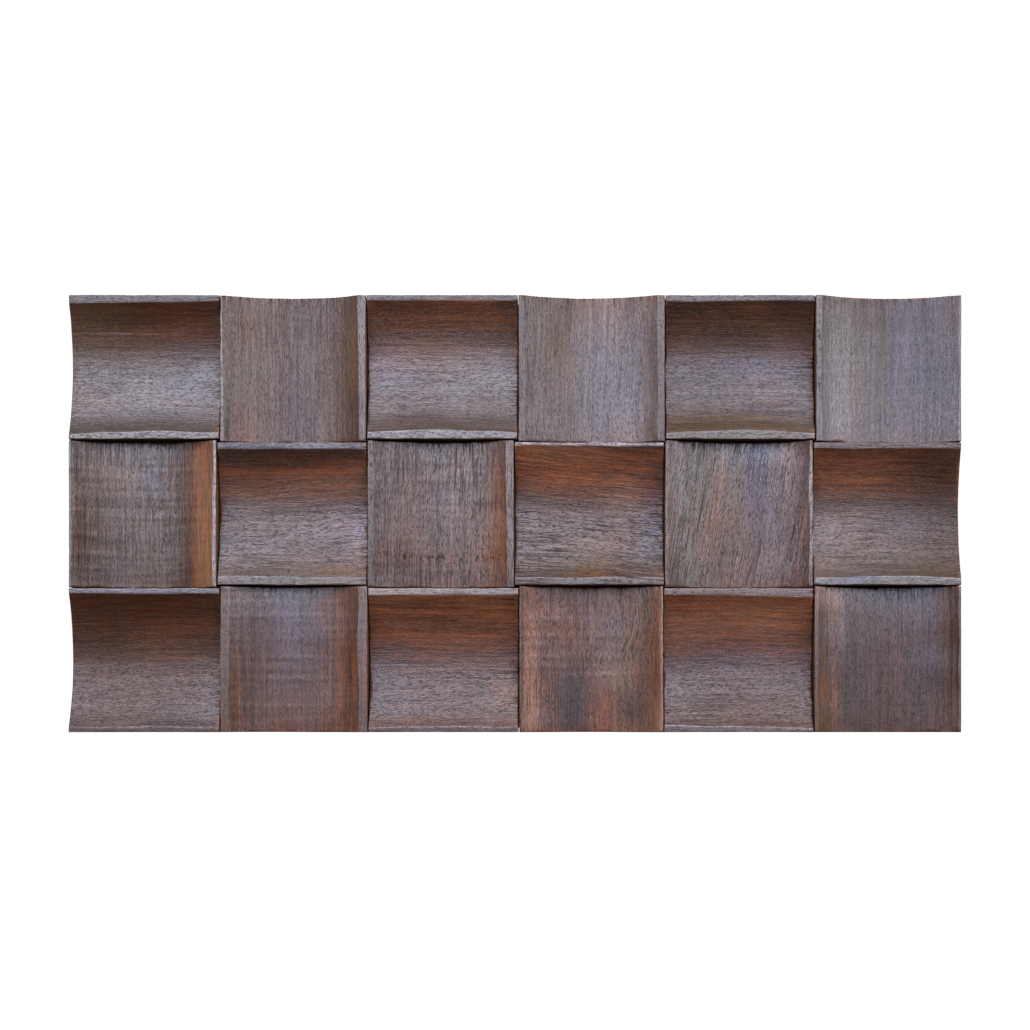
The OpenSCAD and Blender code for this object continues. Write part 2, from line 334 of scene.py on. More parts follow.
        ("pale", 0.2, 0.8, 0.6, 0.25, -0.3),
        ("sheen", 0.4, 0.3, 0.6, 0.1, -0.12),
        ("sheen", 0.95, 0.1, 0.15, 0.15, 0.4),
        ("sheen", 0.97, 0.55, 0.12, 0.25, 0.3),
        ("pale", 0.85, 0.08, 0.25, 0.1, 0.2),
        ("cool", 0.5, 1.0, 1.0, 0.04, 0.5),
        ("curl", 0.95, 0.35, 0.12, 0.25, 0.8),
    ],
    "block_r3_c2": [
        ("sheen", 0.45, 0.95, 0.25, 0.2, 0.45),
        ("sheen", 0.03, 0.2, 0.12, 0.2, -0.2),
        ("sheen", 0.55, 0.6, 0.2, 0.5, 0.12),
        ("rust", 0.5, 0.0, 0.8, 0.25, 0.4),
        ("sheen", 0.03, 0.35, 0.15, 0.4, -0.5),
        ("sheen", 0.5, 0.5, 0.15, 0.6, 0.2),
        ("sheen", 0.95, 0.5, 0.15, 0.3, -0.2),
        ("cool", 0.5, 0.65, 0.4, 0.4, 0.7),
        ("olive", 0.0, 0.5, 0.12, 1.0, 0.3),
    ],
    "block_r3_c3": [
        ("pale", 0.15, 0.95, 0.3, 0.12, 0.3),
        ("sheen", 0.5, 0.85, 1.5, 0.2, 0.15),
        ("pale", 0.75, 0.95, 0.35, 0.15, 0.3),
        ("sheen", 0.5, 0.08, 1.5, 0.15, 0.15),
        ("cool", 0.5, 0.5, 1.0, 0.2, 0.4),
        ("sheen", 0.5, 0.6, 1.5, 0.12, 0.1),
        ("sheen", 0.5, 0.54, 0.5, 0.005, 0.6),
        ("sheen", 0.35, 0.47, 0.35, 0.005, 0.5),
        ("curl", 0.95, 0.3, 0.12, 0.25, 0.8),
        ("pale", 0.92, 0.3, 0.12, 0.12, 0.25),
        ("sheen", 0.05, 0.1, 0.15, 0.12, 0.2),
        ("sheen", 0.05, 0.5, 0.12, 0.12, 0.15),
    ],
    "block_r3_c4": [
        ("bow", 0.75, 0.55, 0.15, 0.14, 6.0),
        ("curl", 0.65, 0.5, 0.25, 0.2, 2.2),
        ("tear", 0.62, 0.5, 0.2, 0.15, 0.35),
        ("pale", 0.36, 0.2, 0.1, 0.3, -0.65),
        ("rust", 0.36, 0.2, 0.1, 0.3, -0.4),
        ("cool", 0.36, 0.2, 0.1, 0.3, 0.15),
        ("pale", 0.07, 0.3, 0.13, 0.5, 0.4),
        ("rust", 0.6, 0.6, 0.2, 0.25, -0.3),
        ("pale", 0.97, 0.1, 0.08, 0.2, 0.35),
        ("pale", 0.6, 0.45, 0.2, 0.15, 0.2),
        ("pale", 0.78, 0.15, 0.08, 0.12, -0.5),
        ("pale", 0.4, 0.88, 0.12, 0.1, -0.3),
        ("cool", 0.65, 0.78, 0.3, 0.08, 0.6),
        ("sheen", 0.7, 0.5, 0.15, 0.15, 0.2),
        ("rust", 0.85, 0.4, 0.12, 0.4, 0.3),
        ("rust", 0.95, 0.75, 0.06, 0.12, 0.5),
        ("rust", 0.58, 0.1, 0.12, 0.15, 0.5),
        ("rust", 0.0, 0.5, 0.03, 1.0, 0.4),
        ("pale", 0.0, 0.4, 0.03, 0.6, -0.5),
        ("pale", 1.0, 0.5, 0.04, 1.0, 0.4),
        ("chatter", 0.15, 0.65, 0.2, 0.3, 0.9),
        ("sheen", 0.0, 0.3, 0.15, 0.8, 0.4),
        ("cool", 0.55, 0.5, 0.15, 0.5, 0.6),
        ("olive", 0.7, 0.6, 0.25, 0.6, 0.7),
        ("chatter", 0.62, 0.52, 0.2, 0.18, 1.0),
    ],
    "block_r3_c5": [
        ("cool", 0.5, 0.55, 0.8, 0.15, 0.5),
        ("sheen", 0.4, 0.65, 1.2, 0.2, 0.35),
        ("pale", 0.4, 0.8, 1.2, 0.2, 0.25),
        ("sheen", 0.2, 0.95, 0.4, 0.12, 0.2),
        ("sheen", 0.4, 0.9, 1.2, 0.2, 0.75),
        ("sheen", 0.8, 0.3, 0.25, 0.12, -0.1),
        ("sheen", 0.92, 0.7, 0.15, 0.12, -0.25),
        ("pale", 0.92, 0.7, 0.15, 0.12, -0.2),
        ("sheen", 0.3, 0.95, 0.2, 0.1, 0.2),
    ],
    "block_r3_c6": [
        ("sheen", 0.0, 0.95, 0.25, 0.3, 0.7),
        ("sheen", 0.2, 1.0, 0.3, 0.15, 0.5),
        ("sheen", 0.7, 0.95, 0.12, 0.2, 0.2),
        ("rust", 0.08, 0.3, 0.12, 0.7, 0.25),
        ("rust", 0.32, 0.12, 0.05, 0.12, 0.4),
        ("pale", 0.3, 0.3, 0.12, 0.5, -0.3),
        ("cool", 0.7, 0.75, 0.2, 0.5, 0.9),
        ("cool", 0.5, 0.4, 0.2, 0.25, 0.5),
        ("rust", 0.95, 0.15, 0.15, 0.25, 0.6),
        ("sheen", 1.0, 0.6, 0.15, 0.6, -0.5),
        ("pale", 0.1, 0.95, 0.25, 0.12, 0.35),
        ("sheen", 1.0, 0.9, 0.12, 0.3, -0.15),
        ("olive", 0.0, 0.5, 0.15, 1.0, 0.9),
        ("sheen", 0.8, 0.32, 0.2, 0.12, 0.2),
        ("cool", 0.1, 0.5, 0.12, 0.15, 0.6),
    ],
}

# ---------------------------------------------------------------- noise over a block

CELL_ACROSS = 0.125 * MM
CELL_ALONG = 0.5 * MM
LATTICE = (1024, 256)  # cells across and along the grain, which cover more than a block


def noise(rng, across_mm, along_mm):
    """Unit noise over a block, blurred to grains of about that size."""
    fa = np.fft.fftfreq(LATTICE[0])[:, None] * across_mm * MM / CELL_ACROSS
    fb = np.fft.rfftfreq(LATTICE[1])[None, :] * along_mm * MM / CELL_ALONG
    spectrum = np.fft.rfft2(rng.standard_normal(LATTICE)) * np.exp(-2 * math.pi**2 * (fa**2 + fb**2))
    field = np.fft.irfft2(spectrum, s=LATTICE)
    return (field - field.mean()) / field.std()


def read(field, a, b):
    """The field's value at a across and b along, measured from the block's lowest corner."""
    i, j = a / CELL_ACROSS, b / CELL_ALONG
    i0, j0 = np.floor(i).astype(int), np.floor(j).astype(int)
    fi, fj = i - i0, j - j0
    i0, i1, j0, j1 = i0 % LATTICE[0], (i0 + 1) % LATTICE[0], j0 % LATTICE[1], (j0 + 1) % LATTICE[1]
    low = field[i0, j0] * (1 - fj) + field[i0, j1] * fj
    high = field[i1, j0] * (1 - fj) + field[i1, j1] * fj
    return low * (1 - fi) + high * fi


def vessels(rng, count, length_mm, width_mm):
    """Open pores over a block: scattered straight dashes along the grain, deepest in their middles."""
    field = np.zeros(LATTICE)
    i = rng.random(count) * LATTICE[0]
    j = rng.random(count) * LATTICE[1]
    half = length_mm * MM / CELL_ALONG / 2 * np.exp(0.5 * np.clip(rng.standard_normal(count), -2, 2))
    width = width_mm * MM / CELL_ACROSS / 2 * np.exp(0.25 * rng.standard_normal(count))
    depth = 0.35 + 0.65 * rng.random(count)
    longest = math.ceil(half.max())
    reach_i, reach_j = np.arange(-4, 5), np.arange(-longest, longest + 1)
    ni = np.floor(i).astype(int)[:, None, None] + reach_i[None, :, None]
    nj = np.floor(j).astype(int)[:, None, None] + reach_j[None, None, :]
    away = np.exp(-(((ni - i[:, None, None]) / width[:, None, None]) ** 2))
    along = np.clip(1 - ((nj - j[:, None, None]) / half[:, None, None]) ** 2, 0, 1) ** 0.6
    np.maximum.at(field, (ni % LATTICE[0], nj % LATTICE[1]), away * along * depth[:, None, None])
    return field


def ramp(value, low, high):
    """A smooth step from 0 at low to 1 at high."""
    t = np.clip((value - low) / (high - low), 0, 1)
    return t * t * (3 - 2 * t)


# ---------------------------------------------------------------- a worked block

STEP_ACROSS = 0.22 * MM  # between the points of a block's front, across the grain
STEP_ALONG = 1.1 * MM  # and along it
WALL_STEP = 2.4 * MM  # between the rows of points on its sides
EASE = 0.7 * MM  # radius of a worn outer edge
BACK_EASE = 0.35 * MM  # bevel at the edge of a block's back
EDGE_WANDER = 0.22 * MM  # how far a land's inner edge strays from its line
SIDE_WANDER = 0.08 * MM  # how far the sides stray inward from the true square
SAW_RIPPLE = 0.05 * MM  # depth of the saw's marks on the sides
PILOT_SIDES = 20

# Looks of the sawn sides and back. Their low tone darkens them as painted shade, for the shadow in the
# joints between the blocks.
SAWN_AND_SHADED = dict(sawn=1.0, streak=0.5, glow=0.2, tone=0.25, fine=0.8, end=0.2, polish=0.5)


def level_grain(name):
    """True where the block's grain runs level. It runs level and upright by turns, like a chequer."""
    row, column = (int(part[1:]) for part in name.split("_")[1:])
    return (row + column) % 2 == 0


def spaced(length, step):
    """Even stations from 0 to length, with finer ones near both ends for the rounded edges."""
    fine = [f * EASE for f in (0, 0.06, 0.2, 0.42, 0.7, 1.05)]
    count = max(2, round((length - 2 * fine[-1]) / step))
    middle = np.linspace(fine[-1], length - fine[-1], count + 1)
    return np.concatenate([fine[:-1], middle, [length - f for f in reversed(fine[:-1])]])


def inner_edges(name, across, along):
    """Where the lands end and the scoop begins, at the block's low end and at its high end."""
    points = np.array([v.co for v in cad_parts[name].data.vertices])
    low, high = points.min(0), points.max(0)
    edges = []
    for end in (low[along], high[along]):
        rim = points[(abs(points[:, Y] - FRONT) < TINY) & (abs(points[:, along] - end) < TINY), across]
        inner = rim[(rim > low[across] + TINY) & (rim < high[across] - TINY)]
        edges.append((inner.min() - low[across], inner.max() - low[across]))
    return edges


def straightened(rng, spec, curl, bow, a, b):
    """How far across each point lies once the grain is straightened."""
    drift = read(noise(rng, 12, 20), a, b) * spec["wave"] * 0.45 * MM
    drift = drift + (read(noise(rng, 3.5, 5), a, b) * curl + bow) * MM
    return a + b * math.tan(math.radians(spec["slant"])) + drift


def orange(spec, level, ta, tb):
    """How orange each point is, from the block's side that glows. ta and tb run from 0 to 1."""
    right, up = (tb, ta) if level else (ta, tb)
    toward = {"left": 1 - right, "right": right, "top": up, "bottom": 1 - up}.get(spec["side"])
    return 0 * ta if toward is None else spec["glow"] * ramp(toward, 0.45, 0.95)


def spots(name, kind, level, ta, tb):
    """How much of one kind of spot lies on each point."""
    right, up = (tb, ta) if level else (ta, tb)
    total = 0 * ta
    for what, x, z, rx, rz, much in SPOTS.get(name, ()):
        if what == kind:
            total = total + much * np.exp(-(((right - x) / rx) ** 2) - ((up - z) / rz) ** 2)
    return total


def scoop_of(rng, name, spec, across, along, a, b, size):
    """Depth of the smooth scoop at each grid point, and how much of a land each point is."""
    (low_0, high_0), (low_1, high_1) = inner_edges(name, across, along)
    tb = b / size[1]
    worn = noise(rng, 4, 7)
    first = (1 - tb) * low_0 + tb * low_1 + read(worn, 0 * a, b) * EDGE_WANDER
    first = first + spec["bulge"] * MM * (np.sin(math.pi * tb) - 2 / math.pi)
    last = (1 - tb) * high_0 + tb * high_1 + read(worn, 0 * a + size[0], b) * EDGE_WANDER
    last = last - spec["brim"] * MM
    half = (high_0 - low_0) / 2
    s = (2 * (a - first) / (last - first) - 1) * half
    below = np.sqrt(SCOOP_RADIUS**2 - np.clip(s, -1.15 * half, 1.15 * half) ** 2)
    below = below - math.sqrt(SCOOP_RADIUS**2 - half**2)
    soft = (0.16 + 0.10 * np.clip(read(noise(rng, 2, 6), a, b) + 0.4, 0, 3)) * MM
    return (below + np.sqrt(below**2 + soft**2)) / 2, 1 - ramp(below, -0.05 * MM, 0.25 * MM)


def pores_of(rng, spec, a, b, ga, length):
    """How open the grain is at each point: combed lines, pores of two lengths, and the far end."""
    reach = spec["reach"]
    crowd = np.clip(0.62 + 0.22 * read(noise(rng, 5, 16), a, b), 0.2, 1)
    comb = ramp(read(noise(rng, 9, 9), a, b), 0.9 - spec["lines"], 1.9 - spec["lines"])
    lines = comb * read(vessels(rng, 560, 18, 0.5), ga, b)
    longer = crowd * read(vessels(rng, round(900 / reach), 8 * reach, 0.30 + 0.10 * reach), ga, b)
    shorter = 0.9 * crowd * read(vessels(rng, round(2600 / reach), 3 * reach, 0.34), ga, b)
    pore = np.maximum(np.maximum(lines, longer), shorter)
    far_end = np.exp(-(length - b) / (3 * MM)) * ramp(read(noise(rng, 0.35, 5), ga, b), 0.2, 1.0)
    return pore * spec["pores"] + 0.8 * far_end


def worn_away(rng, a, b, size):
    """How far the block's outer edges are worn down, with small nicks along them."""
    wear = np.clip(1 + 0.35 * read(noise(rng, 3, 3), a, b), 0.35, 2)
    nick = ramp(read(noise(rng, 1.2, 1.2), a, b), 1.9, 3.0)
    radius = EASE * wear * (1 + 0.9 * nick)
    total = 0 * a
    for inward in (a, size[0] - a, b, size[1] - b):
        gone = np.clip(radius - inward, 0, None)
        total = total + radius - np.sqrt(np.clip(radius**2 - gone**2, 0, None))
    return total


def front_of(rng, name, spec, level, across, along, a, b, size):
    """Depth of the front below the lands at each grid point, its looks, and its place across the grain."""
    ta, tb = a / size[0], b / size[1]
    depth, land = scoop_of(rng, name, spec, across, along, a, b, size)
    curl, bow, tear = (spots(name, kind, level, ta, tb) for kind in ("curl", "bow", "tear"))
    ga = straightened(rng, spec, curl, bow, a, b)
    pore = pores_of(rng, spec, a, b, ga, size[1])
    pits = read(noise(rng, 0.45, 0.7), a, b)
    pore = np.clip(pore + tear * ramp(pits, 0.3, 1.2), 0, 1)
    fibre = read(noise(rng, 0.28, 2.4), ga, b)
    strand = read(noise(rng, 0.35, 14), ga, b)
    band = read(noise(rng, 2.2, 45), ga, b)
    chatter = spec["chatter"] + spots(name, "chatter", level, ta, tb)
    marks = read(noise(rng, 14, 0.9), a, b) * chatter
    depth = depth + MM * (
        0.10 * pore * (1 - 0.5 * land)
        + 0.010 * fibre
        + 0.010 * band
        + 0.030 * marks
        - 0.05 * tear * pits
        + 0.10 * (1 - land) * read(noise(rng, 12, 18), a, b)
    )
    depth = depth + worn_away(rng, a, b, size)

    rim = np.minimum(a, size[0] - a)
    far = (1.0 if level else 0.5) * np.exp(-(size[1] - b) / (0.9 * MM))
    end = np.maximum(0.7 * np.exp(-b / (0.4 * MM)), far)

    polish = 1 + spots(name, "sheen", level, ta, tb) + 0.05 * read(noise(rng, 6, 12), a, b)
    polish = spec["polish"] * (polish + 0.06 * strand + 0.07 * marks - 0.12 * tear * pits)
    looks = {
        "pore": pore,
        "land": land,
        "fine": 0 * a + spec["pores"],
        "grey": spec["grey"] * land,
        "streak": 0.5 + 0.10 * fibre + 0.10 * strand + 0.04 * band + 0.08 * marks,
        "glow": np.clip(
            (spec["warm"] + orange(spec, level, ta, tb) + spots(name, "rust", level, ta, tb))
            * (1 + 0.20 * band + 0.12 * strand)
            + 0.07 * read(noise(rng, 7, 16), a, b), 0, 1),
        # tone: the block's own tone and its pale spots; their darkening at the tops of the level scoops is
        # painted shade
        "tone": 0.5 + 0.5 * spec["tone"] + spots(name, "pale", level, ta, tb)
        + 0.08 * read(noise(rng, 10, 22), a, b),
        "rub": np.exp(-rim / (0.5 * MM)),
        "cool": spots(name, "cool", level, ta, tb) * (1 + 0.3 * band)
        + 0.10 * np.clip(read(noise(rng, 8, 16), a, b), 0, 3),
        "olive": spots(name, "olive", level, ta, tb),
        "sawn": 0 * a,
        "end": end * np.clip(0.6 + 0.4 * read(noise(rng, 3, 3), a, b), 0, 1),
        "polish": polish * (1 - land) + np.where(ta < 0.5, *LANDS[name]) * land,
    }
    return np.clip(depth, 0.01 * MM, None), looks, ga


def hanger_screw_points():
    """Where the hangers' screws stand, as (x, z)."""
    found = []
    for node in ("hanger_left", "hanger_right"):
        low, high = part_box(node)
        middle = (low + high) / 2
        found += [(middle.x, middle.z + k * HANGER_SCREW_REACH) for k in (-1, 1)]
    return found


def pilot_points(name, centre):
    """A block's screw holes, as (x, z, where the hole ends)."""
    tilt = 1 if level_grain(name) else -1
    found = [(centre[X] + k * SCREW_REACH, centre[Z] + k * tilt * SCREW_REACH, PILOT_FLOOR) for k in (-1, 1)]
    low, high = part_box(name)
    for x, z in hanger_screw_points():
        if low.x < x < high.x and low.z < z < high.z:
            found.append((x, z, HANGER_PILOT_FLOOR))
    return found


def ring(x, z, y, radius):
    """The points of a hole's rim in the plane at y."""
    angles = [2 * math.pi * k / PILOT_SIDES for k in range(PILOT_SIDES)]
    return [(x + radius * math.cos(t), y, z + radius * math.sin(t)) for t in angles]


def turn_outward(mesh):
    """Turns the faces of a closed mesh so that all of them face out of it."""
    work = bmesh.new()
    work.from_mesh(mesh)
    bmesh.ops.recalc_face_normals(work, faces=work.faces)
    work.to_mesh(mesh)
    work.free()


def make_mesh(name, points, faces, looks=None, grain=None):
    """A smooth-shaded mesh object. looks and grain, where given, become its point attributes."""
    mesh = bpy.data.meshes.new(name)
    mesh.from_pydata(points, [], faces)
    mesh.validate()
    if looks:
        turn_outward(mesh)
    mesh.shade_smooth()
    mesh.set_sharp_from_angle(angle=math.radians(50))
    for key, values in (looks or {}).items():
        mesh.attributes.new(key, "FLOAT", "POINT").data.foreach_set("value", values.astype(np.float32))
    if grain is not None:
        mesh.attributes.new("grain", "FLOAT_VECTOR", "POINT").data.foreach_set(
            "vector", grain.astype(np.float32).ravel()
        )
    thing = bpy.data.objects.new(name, mesh)
    bpy.context.scene.collection.objects.link(thing)
    return thing


def sides_of(rng, rim, low, high, across, along):
    """The sawn sides as loops of points, from under the front's rim to the bevelled edge of the back."""
    middle = (low + high) / 2
    rows = max(3, round((high[Y] - FRONT) / WALL_STEP))
    shares = np.concatenate([np.linspace(0, 1, rows + 1)[1:], [1.0]])
    saw = noise(rng, 1.5, 3)
    run = np.arange(len(rim)) * STEP_ALONG
    loops = []
    for k, share in enumerate(shares):
        points = rim.copy()
        points[:, Y] = rim[:, Y] + share * (high[Y] - rim[:, Y])
        ripple = SAW_RIPPLE * (1 + np.tanh(read(saw, 0 * run + share * 20 * MM, run)))
        ripple = ripple * math.sin(math.pi * share)
        if k == len(shares) - 2:
            points[:, Y] -= BACK_EASE
        if k == len(shares) - 1:
            ripple = ripple + BACK_EASE
        for axis in (across, along):
            out = np.sign(points[:, axis] - middle[axis])
            at_edge = abs(rim[:, axis] - middle[axis]) > (high[axis] - low[axis]) / 2 - 0.5 * MM
            points[:, axis] -= np.where(at_edge, out * ripple, 0)
        loops.append(points)
    return loops


def back_of(name, points, outline, low, high):
    """The faces that fill the flat back, and the points and faces of its pilot holes.

    points are the block's points so far, and outline holds the numbers of those round the back.
    """
    pilots = pilot_points(name, (low + high) / 2)
    holes = [ring(x, z, high[Y], PILOT_RADIUS) for x, z, _ in pilots]
    extra = [p for hole in holes for p in hole]
    corners = [[Vector(p) for p in points[outline]], *[[Vector(p) for p in hole] for hole in holes]]
    numbers = np.concatenate([outline, len(points) + np.arange(len(extra))])
    faces = [[int(numbers[i]) for i in f] for f in tessellate_polygon(corners)]
    for h, (hole, pilot) in enumerate(zip(holes, pilots)):
        first = len(points) + h * PILOT_SIDES
        floor = len(points) + len(extra)
        extra += [(x, pilot[2], z) for x, _, z in hole]
        for k in range(PILOT_SIDES):
            n = (k + 1) % PILOT_SIDES
            faces.append([first + k, first + n, floor + n, floor + k])
        faces.append(list(range(floor, floor + PILOT_SIDES)))
    return extra, faces


def worked_block(name, number):
    """One block as a closed mesh: carved front, sawn sides, and a flat back with its pilot holes."""
    spec = BLOCKS[name]
    rng = np.random.default_rng(SEED + number)
    level = level_grain(name)
    across, along = (Z, X) if level else (X, Z)
    low, high = (np.array(corner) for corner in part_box(name))
    size = (high[across] - low[across], high[along] - low[along])

    # The front, a grid of points a across the grain and b along it
    sa, sb = spaced(size[0], STEP_ACROSS), spaced(size[1], STEP_ALONG)
    a, b = np.meshgrid(sa, sb, indexing="ij")
    depth, looks, ga = front_of(rng, name, spec, level, across, along, a, b, size)
    wander = noise(rng, 16, 16)
    pull_a = SIDE_WANDER * (1 + np.tanh(read(wander, np.where(a < size[0] / 2, 0, size[0]), b)))
    pull_b = SIDE_WANDER * (1 + np.tanh(read(wander, a, np.where(b < size[1] / 2, 0, size[1]))))
    front = np.zeros(a.shape + (3,))
    front[..., across] = low[across] + a + pull_a * (1 - 2 * a / size[0])
    front[..., along] = low[along] + b + pull_b * (1 - 2 * b / size[1])
    front[..., Y] = FRONT + depth
    front = front.reshape(-1, 3)
    index = np.arange(len(front)).reshape(a.shape)
    quads = [np.stack([index[:-1, :-1], index[:-1, 1:], index[1:, 1:], index[1:, :-1]], -1).reshape(-1, 4)]
    rim = np.concatenate([index[0, :-1], index[:-1, -1], index[-1, :0:-1], index[:0:-1, 0]])

    walls = sides_of(rng, front[rim], low, high, across, along)
    wall_ids = [len(front) + k * len(rim) + np.arange(len(rim)) for k in range(len(walls))]
    for upper, lower in zip([rim, *wall_ids], wall_ids):
        quads.append(np.stack([upper, lower, np.roll(lower, -1), np.roll(upper, -1)], -1))
    points = np.concatenate([front, *walls])
    extra, fills = back_of(name, points, wall_ids[-1], low, high)
    points = np.concatenate([points, np.array(extra)])
    faces = np.concatenate(quads).tolist() + fills

    # Looks and grain at every point. The sides take up some of the front's, and their low tone is painted
    # shade
    full = {}
    for key, values in looks.items():
        full[key] = np.full(len(points), SAWN_AND_SHADED.get(key, 0.0))
        full[key][: len(front)] = values.ravel()
    shift = (ga - a).ravel()
    grain = np.zeros((len(points), 3))
    grain[:, 0] = points[:, along] - low[along]
    grain[:, 1] = points[:, across] - low[across]
    grain[:, 2] = points[:, Y]
    grain[: len(front), 1] += shift
    for ids in wall_ids:
        grain[ids, 1] += shift[rim]
        for key in ("glow", "tone", "streak"):
            full[key][ids] = full[key][rim] * 0.6 + 0.4 * full[key][ids]
    grain += number * np.array([0.37, 0.53, 0.71])
    return make_mesh("carved_" + name, points.tolist(), faces, full, grain)


# ---------------------------------------------------------------- node helpers


class Nodes:
    """A small hand for building a material's node tree."""

    def __init__(self, name):
        self.material = bpy.data.materials.new(name)
        self.material.use_nodes = True
        self.tree = self.material.node_tree
        self.tree.nodes.clear()
        self.shader = self.add("ShaderNodeBsdfPrincipled")
        out = self.add("ShaderNodeOutputMaterial")
        self.link(self.shader.outputs["BSDF"], out.inputs["Surface"])

    def add(self, kind, **settings):
        node = self.tree.nodes.new(kind)
        for key, value in settings.items():
            setattr(node, key, value)
        return node

    def link(self, source, target):
        self.tree.links.new(source, target)

    def put(self, socket, value):
        """Links value into the socket if it is an output, or else sets it."""
        if isinstance(value, bpy.types.NodeSocket):
            self.link(value, socket)
        else:
            socket.default_value = value

    def attribute(self, name):
        return self.add("ShaderNodeAttribute", attribute_name=name)

    def value(self, name):
        return self.attribute(name).outputs["Fac"]

    def maths(self, operation, one, two=0.0, three=0.0, clamp=False):
        node = self.add("ShaderNodeMath", operation=operation, use_clamp=clamp)
        for socket, value in zip(node.inputs, (one, two, three)):
            self.put(socket, value)
        return node.outputs[0]

    def mapped(self, vector, scale, location=(0, 0, 0), rotation=(0, 0, 0)):
        node = self.add("ShaderNodeMapping")
        self.put(node.inputs["Vector"], vector)
        node.inputs["Scale"].default_value = scale
        node.inputs["Location"].default_value = location
        node.inputs["Rotation"].default_value = rotation
        return node.outputs[0]

    def noise(self, vector, detail=3.0, roughness=0.55, distortion=0.0):
        node = self.add("ShaderNodeTexNoise")
        self.put(node.inputs["Vector"], vector)
        node.inputs["Scale"].default_value = 1.0
        node.inputs["Detail"].default_value = detail
        node.inputs["Roughness"].default_value = roughness
        node.inputs["Distortion"].default_value = distortion
        return node.outputs["Fac"]

    def fit(self, value, low, high, to_low=0.0, to_high=1.0, smooth=False):
        node = self.add("ShaderNodeMapRange", interpolation_type="SMOOTHSTEP" if smooth else "LINEAR")
        self.put(node.inputs["Value"], value)
        for key, number in (("From Min", low), ("From Max", high), ("To Min", to_low), ("To Max", to_high)):
            self.put(node.inputs[key], number)
        return node.outputs["Result"]

    def mix(self, factor, one, two):
        node = self.add("ShaderNodeMix", data_type="RGBA")
        self.put(node.inputs["Factor"], factor)
        colour_in = [s for s in node.inputs if s.type == "RGBA"]
        self.put(colour_in[0], one if isinstance(one, bpy.types.NodeSocket) else (*one, 1))
        self.put(colour_in[1], two if isinstance(two, bpy.types.NodeSocket) else (*two, 1))
        return [s for s in node.outputs if s.type == "RGBA"][0]

    def bump(self, height, distance, strength=1.0):
        node = self.add("ShaderNodeBump")
        node.inputs["Strength"].default_value = strength
        node.inputs["Distance"].default_value = distance
        self.put(node.inputs["Height"], height)
        return node.outputs["Normal"]

    def set(self, **values):
        for key, value in values.items():
            self.put(self.shader.inputs[key.replace("_", " ")], value)


# ---------------------------------------------------------------- materials


